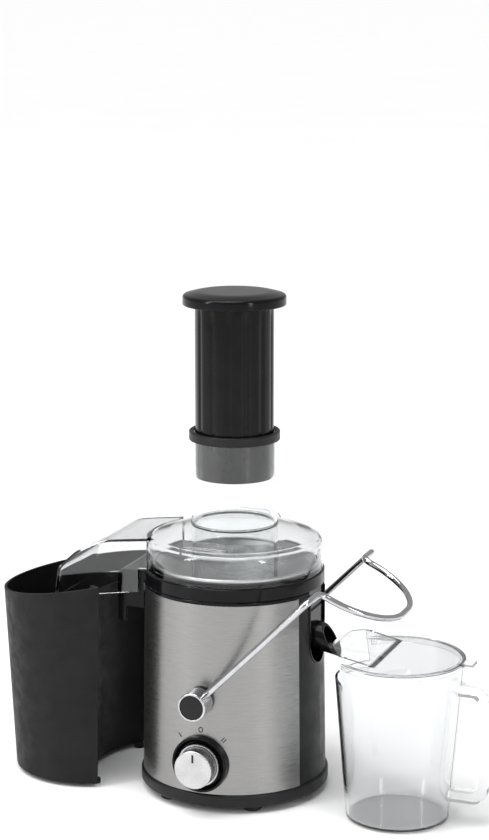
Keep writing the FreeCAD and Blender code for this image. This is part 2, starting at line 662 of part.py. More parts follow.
def build_bowl():
    inner = size.bowl_radius - size.bowl_wall
    cup = turned("bowl_cup", [
        (size.collar_inner, size.bowl_bottom), (size.bowl_radius, size.bowl_bottom, 9),
        (size.bowl_radius, size.bowl_rim_bottom), (size.bowl_rim_radius, size.bowl_rim_bottom),
        (size.bowl_rim_radius, size.bowl_rim_top, 1), (size.groove_outer, size.bowl_rim_top),
        (size.groove_outer, size.groove_floor), (size.groove_inner, size.groove_floor),
        (size.groove_inner, size.lip_top, 0.8), (size.lip_inner, size.lip_top),
        (inner, 196), (inner, size.bowl_floor, 7), (size.collar_outer, size.bowl_floor),
        (size.collar_outer, size.collar_top), (size.collar_inner, size.collar_top)])
    column = box("spout_column", (60, -size.column_half, 152),
                 (size.column_reach, size.column_half, size.bowl_rim_bottom))
    tilt = 90 + TABLE["spout_slope"]
    pipe = cylinder("spout_pipe", size.spout_radius, size.spout_length, size.spout_start, 0,
                    size.spout_height, (0, 1, 0), tilt)
    bore = cylinder("spout_hole", size.spout_bore, 80, size.spout_start - 4, 0,
                    size.spout_height, (0, 1, 0), tilt)
    mouth = box("spout_mouth", (0, -20, -40), (40, 20, 40), (0, 1, 0), -28,
                (size.spout_mouth, 0, size.bowl_bottom))
    envelope = turned("bowl_envelope", [
        (0, size.bowl_bottom), (size.bowl_radius, size.bowl_bottom, 9),
        (size.bowl_radius, size.bowl_rim_bottom), (0, size.bowl_rim_bottom)])
    keep(cut("spout", fuse("spout_solid", column, pipe), envelope, mouth, bore), "juice_spout")
    frame = padded("bracket_frame", "XZ_Plane", [
        (-size.bracket_reach, size.bracket_low), (-size.bracket_reach, size.bracket_high, 7),
        (-70, size.bracket_high), (-70, size.bracket_low)], size.bracket_half * 2)
    wall = size.bracket_wall
    hollow = box("bracket_hollow", (-size.bracket_reach + wall, -size.bracket_half + wall, 150),
                 (-60, size.bracket_half - wall, size.bracket_high - wall))
    tabs = [box("tab", (-size.bracket_reach, side, size.tab_low),
                (-size.bracket_reach + size.tab_length, side + 3, 185))
            for side in (-TABLE["bracket_half"], TABLE["bracket_half"] - 3)]
    clearance = cylinder("rim_space", size.rim_radius + 1.2, 60, 0, 0, 150)
    upper = cylinder("wall_space", size.bowl_rim_radius, 60, 0, 0, 190)
    under_rim = cut("under_rim", clearance,
                    ring("rim_keep", 40, 90, size.bowl_rim_bottom, 220))
    keep(cut("bracket", fuse("bracket_solid", frame, *tabs), hollow, upper, under_rim),
         "bowl_bracket")
    keep(cut("bowl_shell", cup, bore), "juice_bowl")
    keep(turned("lip_seal", [
        (size.collar_outer + 0.2, 148.6), (29.7, 148.6), (29.7, 149.8), (28.6, 158),
        (size.collar_outer + 0.2, 158)]), "collar_seal")


# ---------------------------------------------------------------- filter

def build_filter():
    thin = size.mesh_thickness
    cone_wall = turned("cone", [
        (size.mesh_bottom_radius - thin, size.mesh_bottom - 2.6),
        (size.mesh_bottom_radius, size.mesh_bottom - 2.6),
        (size.mesh_bottom_radius, size.mesh_bottom), (size.mesh_top_radius, size.mesh_top),
        (size.mesh_top_radius - thin * 1.3, size.mesh_top),
        (size.mesh_bottom_radius - thin, size.mesh_bottom + 0.5)])
    keep(cone_wall, "filter_mesh")
    keep(turned("rim_roll", [
        (size.mesh_top_radius + 0.2, size.mesh_top - 0.7),
        (size.filter_rim_radius, size.mesh_top - 0.7),
        (size.filter_rim_radius, size.filter_rim_top, 0.9),
        (size.mesh_top_radius - 1.2, size.filter_rim_top, 0.9),
        (size.mesh_top_radius - 1.2, size.mesh_top + 0.05),
        (size.mesh_top_radius + 0.2, size.mesh_top + 0.05)]), "filter_rim")
    socket_outer = size.socket_radius + size.socket_wall
    drum_inner = size.drum_radius - size.drum_wall
    body = turned("filter_moulding", [
        (size.socket_radius, size.socket_bottom), (socket_outer, size.socket_bottom),
        (socket_outer, 161), (drum_inner, 161), (drum_inner, size.drum_bottom),
        (size.drum_radius, size.drum_bottom, 0.8), (size.drum_radius, size.flange_bottom),
        (size.flange_radius, size.flange_bottom, 1), (size.flange_radius, 170, 1.2),
        (46.3, size.flange_top), (size.neck_radius, size.flange_top),
        (size.neck_radius, 175.8), (41.2, 175.8), (41.2, size.disc_bottom - 0.1),
        (0, size.disc_bottom - 0.1), (0, size.socket_top), (size.socket_radius, size.socket_top)])
    half = size.tooth_width / 2
    lugs = [box("lug", (13.2, -half, size.socket_bottom), (19, half, 165),
                angle=30 + i * 60, at=(0, 0, 0)) for i in range(6)]
    holes = [cylinder("rivet_hole", 1.6, 20, *polar(size.rivet_circle, a), 160)
             for a in DIAGONALS]
    keep(cut("filter_base_cut", fuse("filter_base_solid", body, *lugs), *holes), "filter_base")

    disc = turned("disc", [
        (0, size.disc_bottom), (size.disc_radius, size.disc_bottom),
        (size.disc_radius, size.disc_top), (size.dome_radius + 2, size.disc_top),
        (size.dome_radius - 1.5, size.dome_top - 0.8, 5), (10, size.dome_top, 12),
        (0, size.dome_top)])
    teeth = []
    for i in range(24):
        x, y = polar(30.2 if i % 2 else 34, 7.5 + i * 15)
        teeth.append(place(cone("grater_tooth", 1.5, 0.25, 3.4), x, y, size.disc_top - 0.4))
    disc_holes = [cylinder("disc_hole", 1.6, 20, *polar(size.rivet_circle, a), 160)
                  for a in DIAGONALS]
    keep(cut("grater_cut", fuse("grater", disc, *teeth), *disc_holes), "grater_disc")
    rivets = []
    for a in DIAGONALS:
        spot = polar(size.rivet_circle, a)
        head = cylinder("rivet_head", 2.4, 0.9, *spot, size.disc_top + 0.02)
        stem = cylinder("rivet_stem", 1.5, size.disc_top - size.flange_bottom, *spot,
                        size.flange_bottom + 0.1)
        rivets.append(fuse("rivet", head, stem))
    keep(group("rivets", *rivets), "disc_rivets")


# ---------------------------------------------------------------- lid and pusher

def build_lid():
    inner = size.lid_radius - size.lid_wall
    cover = turned("cover", [
        (size.skirt_inner, size.skirt_bottom), (size.skirt_outer, size.skirt_bottom),
        (size.skirt_outer, size.lid_bottom), (size.lid_radius, size.lid_bottom),
        (size.lid_radius, size.lid_shoulder + 5, 7), (size.lid_edge_radius, size.lid_edge_top),
        (60, 247.5), (size.tube_outer, size.lid_top),
        (size.tube_outer, size.lid_top - size.lid_wall), (60, 245.5),
        (size.lid_edge_radius - 1, size.lid_edge_top - 2.1),
        (inner, size.lid_shoulder + 3.6, 5), (inner, 216), (size.skirt_inner, 213)])
    keep(ring("tube", size.tube_inner, size.tube_outer, size.tube_bottom, size.tube_top),
         "feed_tube")
    inside = turned("lid_envelope", [
        (0, size.skirt_bottom), (size.lid_radius, size.skirt_bottom),
        (size.lid_radius, size.lid_shoulder + 5, 7), (size.lid_edge_radius, size.lid_edge_top),
        (60, 247.5), (size.tube_outer, size.lid_top), (0, size.lid_top)])
    roof = size.lid_edge_top - 1
    shell = padded("chute_shell", "XZ_Plane", [
        (-70, size.lid_bottom + 0.2), (-70, roof), (-118, 236, 60), (-143, 222.5, 30),
        (-161, 206, 14), (-size.chute_reach, size.chute_low), (-size.chute_step, 190),
        (-size.chute_step, size.lid_bottom + 0.2)], size.chute_half * 2)
    half = size.chute_half - size.lid_wall
    gap = box("chute_gap", (-90, -half, 150), (-60, half, 215))
    space = padded("chute_space", "XZ_Plane", [
        (-60, 215), (-60, roof - 2), (-117.4, 233.8, 60), (-141.6, 220.8, 28),
        (-159, 204.5, 12), (-size.chute_reach + 2, size.chute_low - 8), (-86, 169),
        (-86, 215)], half * 2)
    fins = []
    for side in (-1, 1):
        fin = padded("fin", "XZ_Plane", [
            (-24, 238), (-24, size.fin_top, 3), (size.fin_end, size.fin_top, 11),
            (size.fin_end, 238)], size.fin_thickness)
        fins.append(cut("fin_cut", place(fin, 0, size.fin_offset * side, 0), inside))
    keep(cut("lid_open", cover, space), "lid_cover")
    keep(cut("chute_open", shell, gap, space, inside), "pulp_chute")
    keep(group("fin_pair", *fins), "lid_fins")
    keep(turned("top_ring", [
        (size.tube_outer + 0.02, size.tube_ring_bottom),
        (size.tube_ring_radius, size.tube_ring_bottom, 0.6),
        (size.tube_ring_radius, size.tube_ring_top, 1), (37.8, size.tube_ring_top, 0.4),
        (37.8, size.tube_top + 0.02), (size.tube_outer + 0.02, size.tube_top + 0.02)]),
        "tube_ring")

    wall = size.pusher_wall
    keep(turned("plunger", [
        (0, size.pusher_bottom), (size.pusher_radius, size.pusher_bottom, 2),
        (size.pusher_radius, size.pusher_top - 0.02),
        (size.pusher_radius - wall, size.pusher_top - 0.02),
        (size.pusher_radius - wall, size.pusher_bottom + wall),
        (0, size.pusher_bottom + wall)]), "pusher_body")
    keep(turned("cap", [
        (0, size.pusher_top), (size.cap_radius, size.pusher_top, 1.2),
        (size.cap_radius, 464.5, 5), (34, size.cap_top - 1), (0, size.cap_top)]), "pusher_cap")


# ---------------------------------------------------------------- pulp container

def build_container():
    height = size.bin_top - size.bin_bottom + 6
    slope = (size.bin_high_radius - size.bin_low_radius) / (size.bin_top - size.bin_bottom)
    top_radius = size.bin_high_radius + slope * 6
    outer = cone("bin_outer", size.bin_low_radius, top_radius, height,
                 -size.bin_centre, 0, size.bin_bottom)
    inner = cone("bin_inner", size.bin_low_radius - size.bin_wall, top_radius - size.bin_wall,
                 height, -size.bin_centre, 0, size.bin_bottom + size.bin_wall)
    face = cylinder("bin_face", size.bin_hollow, 260, -size.bin_away, 0, 0)
    back = cylinder("bin_back", size.bin_hollow + size.bin_wall, 260, -size.bin_away, 0, 0)
    shell = cut("bin_shell", cut("bin_block", outer, face), cut("bin_space", inner, back))
    above = box("bin_above", (-140, -100, 0), (60, 100, 60), (0, 1, 0),
                -TABLE["bin_rim_slope"], (-size.bin_corner, 0, size.bin_top))
    low_rim = common(
        "inner_rim_cut",
        place(ring("inner_rim_ring", size.bin_hollow - 2, size.bin_hollow + size.bin_wall + 2,
                   size.bin_inner_rim, 230), -size.bin_away, 0, 0),
        box("inner_rim_width", (-200, -60, 150), (-100, 60, 230)))
    notches = []
    for side in (-1, 1):
        middle = (TABLE["bracket_half"] - 1.5) * side
        slot = box("tab_slot", (-200, middle - 4, size.bin_notch), (-100, middle + 4, 230))
        band = place(ring("tab_band", size.bin_hollow - 2, size.bin_hollow + size.bin_wall + 2,
                          150, 230), -size.bin_away, 0, 0)
        notches.append(common("notch", slot, band))
    keep(cut("bin_trimmed", shell, above, low_rim, *notches), "pulp_container")

    feet = []
    for x, y in ((-122, -52), (-122, 52), (-205, 0)):
        feet.append(cylinder("stub", 5, size.bin_bottom - 0.02, x, y, 0))
    keep(group("stubs", *feet), "container_feet")


# ---------------------------------------------------------------- jug

def at_jug(item):
    return place(item, size.jug_across, -size.jug_forward, 0)


def jug_radius(height):
    """The jug's outer radius at a height."""
    slope = (TABLE["jug_high_radius"] - TABLE["jug_low_radius"]) / TABLE["jug_height"]
    return TABLE["jug_low_radius"] + slope * height


def build_jug():
    wall = size.jug_wall
    cup = at_jug(turned("jug_cup", [
        (0, 0), (size.jug_low_radius, 0, 3), (size.jug_high_radius, size.jug_height),
        (size.jug_high_radius - wall, size.jug_height), (size.jug_low_radius - wall, 3, 2),
        (0, 3)]))
    lip = box("jug_lip", (-80, -size.jug_lip_half, size.jug_lip),
              (-20, size.jug_lip_half, 170), at=(size.jug_across, -size.jug_forward, 0))
    keep(cut("jug_notched", cup, lip), "jug_body")

    thick = size.handle_thick
    grip = padded("jug_grip", "XZ_Plane", [
        (40, size.handle_high + thick / 2), (size.handle_reach, size.handle_high + thick / 2, 14),
        (size.handle_reach, size.handle_low - thick / 2, 14), (30, size.handle_low - thick / 2),
        (30, size.handle_low + thick / 2), (size.handle_reach - thick,
                                            size.handle_low + thick / 2, 6),
        (size.handle_reach - thick, size.handle_high - thick / 2, 6),
        (40, size.handle_high - thick / 2)], size.handle_width)
    at_jug(grip)
    space = at_jug(turned("grip_space", [
        (0, -5), (jug_radius(-5) + 0.02, -5), (jug_radius(160) + 0.02, 160), (0, 160)]))
    keep(cut("jug_handle_cut", grip, space), "jug_handle")

    inner = size.jug_high_radius - wall - 0.4
    plate = turned("lid_plate", [
        (0, size.jug_height + 0.2), (inner - 2, size.jug_height + 0.2), (inner - 2, 145.5),
        (inner - 0.6, 145.5), (inner, size.jug_height + 0.2),
        (size.jug_high_radius + 0.6, size.jug_height + 0.2),
        (size.jug_high_radius + 0.6, size.jug_lid_top, 0.6), (0, size.jug_lid_top)])
    hood_half = size.jug_lip_half + 3
    canopy = padded("hood_canopy", "XZ_Plane", [
        (-64, size.jug_height + 0.2), (-64, size.hood_top - 2), (-54, size.hood_top, 6),
        (-10, size.jug_lid_top), (-10, size.jug_height + 0.2)], hood_half * 2)
    edge = cylinder("hood_edge", size.jug_high_radius + 0.6, 60, 0, 0, 140)
    hollow = padded("hood_space", "XZ_Plane", [
        (-70, 140), (-70, size.hood_top - 3.6), (-54, size.hood_top - 2, 5),
        (-16, size.jug_lid_top), (-16, 140)], size.jug_lip_half * 2)
    solid = fuse("lid_block", plate, common("hood", canopy, edge))
    tab = box("thumb_tab", (56, -8, size.jug_height + 0.2), (70, 8, size.jug_lid_top + 0.6))
    lid = fuse("jug_cover", cut("lid_hooded", solid, hollow), tab)
    keep(at_jug(lid), "jug_lid")


# ---------------------------------------------------------------- build, check, export

build_housing()
build_well()
build_underside()
build_controls()
build_bail()
build_motor()
build_rotor()
build_bowl()
build_filter()
build_lid()
build_container()
build_jug()
doc.recompute()

for item in doc.Objects:
    if "Invalid" in item.State or "Error" in item.State:
        raise RuntimeError(f"{item.Label} failed: {item.State}")
for name, item in nodes.items():
    if item.Shape.isNull() or not item.Shape.isValid() or not item.Shape.Solids:
        raise RuntimeError(f"{name} has no valid shape")

os.makedirs("parts", exist_ok=True)
for name, item in nodes.items():
    item.Shape.exportStep(f"parts/{name}.step")
    bounds = item.Shape.BoundBox
    print(f"{name:20s} solids {len(item.Shape.Solids):2d} volume {item.Shape.Volume:10.1f}"
          f"  x {bounds.XMin:7.1f} {bounds.XMax:7.1f}  y {bounds.YMin:7.1f} {bounds.YMax:7.1f}"
          f"  z {bounds.ZMin:7.1f} {bounds.ZMax:7.1f}")
print(len(nodes), "sub-parts")
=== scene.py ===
"""Looks of a centrifugal juicer: materials, moulded details, studio and camera around its CAD frame.

Metres, in the frame of the CAD: +Z up, -Y the front with the knob, +X the spout and jug side.
"""
import json
import math
import random

import bmesh
import bpy
from mathutils import Matrix, Vector


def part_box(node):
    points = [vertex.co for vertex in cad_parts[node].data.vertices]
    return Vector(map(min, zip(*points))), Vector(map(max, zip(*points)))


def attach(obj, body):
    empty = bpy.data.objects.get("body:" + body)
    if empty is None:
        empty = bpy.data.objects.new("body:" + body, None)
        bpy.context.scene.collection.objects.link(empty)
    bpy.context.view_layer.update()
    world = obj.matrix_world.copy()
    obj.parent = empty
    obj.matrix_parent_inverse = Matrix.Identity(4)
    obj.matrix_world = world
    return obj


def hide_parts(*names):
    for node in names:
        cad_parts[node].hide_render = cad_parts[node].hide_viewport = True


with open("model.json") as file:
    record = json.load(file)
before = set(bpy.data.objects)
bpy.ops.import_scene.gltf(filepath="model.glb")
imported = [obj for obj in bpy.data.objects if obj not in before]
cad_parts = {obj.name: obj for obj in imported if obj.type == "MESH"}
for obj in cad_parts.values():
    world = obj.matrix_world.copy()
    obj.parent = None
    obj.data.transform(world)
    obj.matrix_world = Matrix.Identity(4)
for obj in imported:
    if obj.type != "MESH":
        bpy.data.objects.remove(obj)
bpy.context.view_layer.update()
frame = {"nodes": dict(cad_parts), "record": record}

nodes = frame["nodes"]
slot_of = {part["node"]: part["material_slot"] for part in frame["record"]["subparts"]}
MM = 0.001
random.seed(7)


# ---------------------------------------------------------------- shader helpers

class Shader:
    """One procedural material, with short ways to add and link its nodes."""

    def __init__(self, name, roughness, metallic=0.0):
        self.material = bpy.data.materials.new(name)
        self.material.use_nodes = True
        self.tree = self.material.node_tree
        self.surface = self.tree.nodes["Principled BSDF"]
        self.surface.inputs["Roughness"].default_value = roughness
        self.surface.inputs["Metallic"].default_value = metallic
        self.place = self.tree.nodes.new("ShaderNodeTexCoord").outputs["Object"]

    def add(self, kind, inputs, output=0, **settings):
        """A node whose inputs are numbers, colours or other nodes' outputs. Gives one output."""
        node = self.tree.nodes.new("ShaderNode" + kind)
        for key, value in settings.items():
            setattr(node, key, value)
        for key, value in inputs.items():
            if isinstance(value, bpy.types.NodeSocket):
                self.tree.links.new(value, node.inputs[key])
            else:
                node.inputs[key].default_value = value
        return node.outputs[output]

    def link(self, output, name):
        self.tree.links.new(output, self.surface.inputs[name])

    def maths(self, operation, first, second=0.0):
        return self.add("Math", {0: first, 1: second}, operation=operation)

    def noise(self, scale, detail=3.0, stretch=(1, 1, 1)):
        """Noise in the object's own metres. A stretch above 1 makes the pattern finer that way."""
        place = self.add("Mapping", {"Vector": self.place, "Scale": stretch})
        return self.add("TexNoise", {"Vector": place, "Scale": scale, "Detail": detail}, "Fac")

    def between(self, factor, low, high, start=0.3, end=0.7):
        """A number from low to high as the factor goes from start to end."""
        return self.add("MapRange", {
            "Value": factor, "From Min": start, "From Max": end, "To Min": low, "To Max": high})

    def colours(self, factor, first, second):
        ramp = self.tree.nodes.new("ShaderNodeValToRGB")
        ramp.color_ramp.elements[0].position = 0.3
        ramp.color_ramp.elements[0].color = (*first, 1)
        ramp.color_ramp.elements[1].position = 0.7
        ramp.color_ramp.elements[1].color = (*second, 1)
        self.tree.links.new(factor, ramp.inputs["Fac"])
        self.link(ramp.outputs["Color"], "Base Color")

    def roughen(self, factor, low, high):
        self.link(self.between(factor, low, high), "Roughness")

    def relief(self, height, depth, softened=0.0):
        """Bump of a depth in metres, over edges softened by a radius in metres."""
        inputs = {"Height": height, "Distance": depth, "Strength": 1.0}
        if softened:
            inputs["Normal"] = self.add("Bevel", {"Radius": softened}, samples=4)
        self.link(self.add("Bump", inputs, "Normal"), "Normal")

    def radius_about(self, axis, centre=(0, 0, 0)):
        """The distance of a point from a line along one axis."""
        keep = [0 if letter == axis else 1 for letter in "XYZ"]
        place = self.add("Mapping", {
            "Vector": self.place, "Location": [-c * k for c, k in zip(centre, keep)],
            "Scale": keep})
        return self.add("VectorMath", {0: place}, "Value", operation="LENGTH")


def moulded(name, dark, light, roughness, grain=0.00002, grain_scale=2600, shine=0.32):
    """Moulded plastic: faint cloudiness in colour and gloss, a fine skin, softened edges."""
    shader = Shader(name, roughness)
    cloud = shader.noise(38, 4)
    shader.colours(cloud, dark, light)
    shader.roughen(shader.noise(90, 4), roughness * 0.8, roughness * 1.25)
    shader.relief(shader.noise(grain_scale, 2), grain, 0.0004)
    shader.surface.inputs["Specular IOR Level"].default_value = shine
    return shader.material


def metal(name, dark, light, roughness, stretch, scale=60, depth=0.00001, softened=0.0003):
    """Metal with a grain, finer along the stretched directions."""
    shader = Shader(name, roughness, 1.0)
    grain = shader.noise(scale, 4, stretch)
    shader.colours(grain, dark, light)
    shader.roughen(shader.noise(scale * 0.7, 3, stretch), roughness * 0.8, roughness * 1.3)
    shader.relief(grain, depth, softened)
    return shader.material


def turned_metal(name, dark, light, roughness, axis, centre, pitch):
    """Metal faced on a lathe: fine rings about an axis."""
    shader = Shader(name, roughness, 1.0)
    radius = shader.radius_about(axis, centre)
    rings = shader.maths("SINE", shader.maths("MULTIPLY", radius, math.tau / pitch))
    mixed = shader.maths("ADD", shader.maths("MULTIPLY", rings, 0.06), shader.noise(60, 2))
    shader.colours(mixed, dark, light)
    shader.roughen(shader.noise(500, 3), roughness * 0.8, roughness * 1.25)
    shader.relief(rings, 0.000002, 0.0003)
    shader.surface.inputs["Anisotropic"].default_value = 0.6
    return shader.material


def clear(name, tint, roughness):
    """Clear moulded plastic with faint ripples from the mould."""
    shader = Shader(name, roughness)
    shader.colours(shader.noise(16, 2), tint, tuple(min(1.0, c + 0.02) for c in tint))
    shader.roughen(shader.noise(150, 4), roughness * 0.6, roughness * 1.6)
    shader.relief(shader.noise(30, 2), 0.00008, 0.0005)
    shader.surface.inputs["Transmission Weight"].default_value = 1.0
    shader.surface.inputs["IOR"].default_value = 1.46
    return shader.material


def laminated(name):
    """A stack of thin steel sheets."""
    shader = Shader(name, 0.45, 1.0)
    height = shader.add("SeparateXYZ", {0: shader.place}, "Z")
    stack = shader.maths("SINE", shader.maths("MULTIPLY", height, math.tau / 0.0006))
    shader.colours(shader.maths("ADD", shader.maths("MULTIPLY", stack, 0.2), shader.noise(70, 4)),
                   (0.16, 0.16, 0.17), (0.36, 0.36, 0.37))
    shader.roughen(shader.noise(300, 3), 0.35, 0.6)
    shader.relief(stack, 0.00004)
    return shader.material


def wound(name):
    """Enamelled copper wire, wound in close turns."""
    shader = Shader(name, 0.3, 1.0)
    radius = shader.radius_about("Z")
    turns = shader.maths("SINE", shader.maths("MULTIPLY", radius, math.tau / 0.0005))
    shader.colours(shader.maths("ADD", shader.maths("MULTIPLY", turns, 0.2), shader.noise(90, 4)),
                   (0.42, 0.16, 0.06), (0.78, 0.38, 0.18))
    shader.roughen(shader.noise(260, 3), 0.22, 0.42)
    shader.relief(turns, 0.00008)
    return shader.material


knob_low, knob_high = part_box("knob_face")
knob_centre = (knob_low + knob_high) / 2
BLACK, SATIN = (0.003, 0.003, 0.0035), (0.009, 0.009, 0.01)

materials = {
    "black_gloss": moulded("gloss_black", BLACK, (0.006, 0.006, 0.007), 0.13, 0.000003, 900, 0.15),
    "black_satin": moulded("satin_black", SATIN, (0.014, 0.014, 0.015), 0.42, shine=0.22),
    "bin_black": moulded("grained_black", (0.008, 0.008, 0.009), (0.012, 0.012, 0.013), 0.5,
                         0.00004, 1900, 0.16),
    "steel_brushed": metal("brushed_steel", (0.26, 0.258, 0.255), (0.32, 0.317, 0.313), 0.3,
                           (1, 1, 90), 70, 0.000002),
    "chrome_rod": metal("polished_chrome", (0.5, 0.5, 0.515), (0.58, 0.58, 0.595), 0.05,
                        (1, 1, 1), 130, 0.000003),
    "aluminium_face": turned_metal("turned_aluminium", (0.5, 0.5, 0.5), (0.6, 0.6, 0.6), 0.3,
                                   "Y", knob_centre, 0.0005),
    "mesh_steel": metal("sieve_steel", (0.5, 0.5, 0.5), (0.6, 0.6, 0.6), 0.34,
                        (1, 1, 3), 40, softened=0),
    "disc_steel": metal("stamped_steel", (0.13, 0.13, 0.135), (0.24, 0.24, 0.245), 0.38,
                        (1, 1, 1), 160),
    "clear_plastic": clear("clear_plastic", (0.925, 0.935, 0.94), 0.025),
    "rubber_black": moulded("rubber", (0.01, 0.01, 0.01), (0.02, 0.02, 0.02), 0.75, 0.00006, 1400),
    "seal_grey": moulded("seal_rubber", (0.07, 0.07, 0.075), (0.11, 0.11, 0.115), 0.6),
    "machined_steel": metal("machined_steel", (0.36, 0.36, 0.36), (0.55, 0.55, 0.55), 0.28,
                            (2, 2, 30), 60),
    "lamination_steel": laminated("laminations"),
    "copper": wound("copper_wire"),
    "carbon": moulded("carbon", (0.02, 0.02, 0.02), (0.045, 0.045, 0.045), 0.6, 0.00003, 1800),
    "fan_white": moulded("fan_plastic", (0.6, 0.6, 0.57), (0.7, 0.7, 0.67), 0.45),
    "brass_part": metal("brass", (0.55, 0.38, 0.14), (0.78, 0.58, 0.26), 0.3, (1, 1, 12), 70),
}
for name, node in nodes.items():
    node.data.materials.clear()
    node.data.materials.append(materials[slot_of[name]])


# ---------------------------------------------------------------- mesh helpers

def add_piece(name, shape, body, slot, replaced=(), sharp=35):
    """Makes a piece from a bmesh, with its slot's material, riding on a body."""
    bmesh.ops.recalc_face_normals(shape, faces=shape.faces)
    mesh = bpy.data.meshes.new(name)
    shape.to_mesh(mesh)
    shape.free()
    mesh.shade_smooth()
    mesh.set_sharp_from_angle(angle=math.radians(sharp))
    mesh.materials.append(materials[slot])
    piece = bpy.data.objects.new(name, mesh)
    bpy.context.scene.collection.objects.link(piece)
    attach(piece, body)
    if replaced:
        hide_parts(*replaced)
    return piece


def rounded(corners, steps=6):
    """A profile of (radius, height, rounding) corners with each corner drawn as a curve."""
    points = []
    for i, (across, up, reach) in enumerate(corners):
        corner = Vector((across, up))
        if not reach:
            points.append(corner)
            continue
        before = (Vector(corners[i - 1][:2]) - corner).normalized() * reach
        after = (Vector(corners[(i + 1) % len(corners)][:2]) - corner).normalized() * reach
        for step in range(steps + 1):
            t = step / steps
            points.append(corner + before * (1 - t) ** 2 + after * t ** 2)
    return points


def lathe(shape, profile, count=144, swell=None):
    """Turns a closed profile about a vertical line. swell(angle, height) adds to the radius."""
    rings = []
    for radius, height in profile:
        ring = []
        for i in range(count):
            angle = math.tau * i / count
            reach = radius + (swell(angle, radius, height) if swell else 0)
            ring.append(shape.verts.new((
                reach * math.cos(angle), reach * math.sin(angle), height)))
        rings.append(ring)
    for ring, following in zip(rings, rings[1:] + rings[:1]):
        for i in range(count):
            j = (i + 1) % count
            shape.faces.new((ring[i], ring[j], following[j], following[i]))
    bmesh.ops.remove_doubles(shape, verts=shape.verts, dist=0.01 * MM)
    return shape


def tube_along(shape, points, radius, closed=False, sides=10):
    """A round tube through points, for thin rings and strokes."""
    rings = []
    count = len(points)
    for i, point in enumerate(points):
        ahead = points[(i + 1) % count] if closed or i + 1 < count else points[i]
        back = points[i - 1] if closed or i else points[i]
        turn = (ahead - back).to_track_quat("Z", "Y")
        rings.append([shape.verts.new(point + turn @ Vector((
            radius * math.cos(math.tau * k / sides), radius * math.sin(math.tau * k / sides), 0)))
            for k in range(sides)])
    pairs = list(zip(rings, rings[1:] + rings[:1])) if closed else list(zip(rings, rings[1:]))
    for ring, following in pairs:
        for k in range(sides):
            m = (k + 1) % sides
            shape.faces.new((ring[k], ring[m], following[m], following[k]))
    if not closed:
        shape.faces.new(rings[0])
        shape.faces.new(rings[-1])
    return shape


# ---------------------------------------------------------------- pusher

FLUTES = 14
FLUTE_DEPTH = 0.9 * MM
FLUTE_FADE = 8 * MM
PUSHER_WALL = 2.5 * MM
PUSHER_ROUND = 2 * MM
WALL_LEVELS = 18


def build_pusher():
    low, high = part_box("pusher_body")
    radius, bottom, top = high.x, low.z, high.z

    def flute(angle, reach, height):
        """Shallow hollows down the outside, ending short of both ends."""
        if reach < radius - 0.5 * MM:
            return 0
        near_end = min(height - bottom, top - height)
        share = max(0.0, min(1.0, near_end / FLUTE_FADE))
        return -FLUTE_DEPTH * share * max(0.0, math.cos(FLUTES * angle)) ** 2

    start = bottom + PUSHER_ROUND
    wall = [(radius, start + (top - start) * i / WALL_LEVELS) for i in range(WALL_LEVELS + 1)]
    inner = radius - PUSHER_WALL
    profile = rounded([(0, bottom, 0), (radius, bottom, PUSHER_ROUND)])[:-1]
    profile += wall + [(inner, top), (inner, bottom + PUSHER_WALL), (0, bottom + PUSHER_WALL)]
    add_piece("fluted_pusher", lathe(bmesh.new(), profile, 224, swell=flute),
              "pusher", "black_gloss", ["pusher_body"], 50)

    low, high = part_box("pusher_cap")
    edge, dish = high.x, 0.72 * high.x
    profile = rounded([
        (0, low.z, 0), (edge, low.z, 1.2 * MM), (edge, high.z - 3.2 * MM, 2.8 * MM),
        (dish, high.z, 5 * MM), (0, high.z, 0)], 8)
    add_piece("domed_cap", lathe(bmesh.new(), profile, 160), "pusher", "black_gloss",
              ["pusher_cap"], 50)


# ---------------------------------------------------------------- filter

HOLE_PITCH = 1.35 * MM
HOLE_SHARE = 0.62
BAND_HEIGHT = 5 * MM
SHEET = 0.35 * MM
NECK_GAP = 4.4 * MM
NECK_HEIGHT = 2.6 * MM
SEAMS = 3
SEAM_HALF_WIDTH = 1.3 * MM
FIRST_SEAM = 0.5


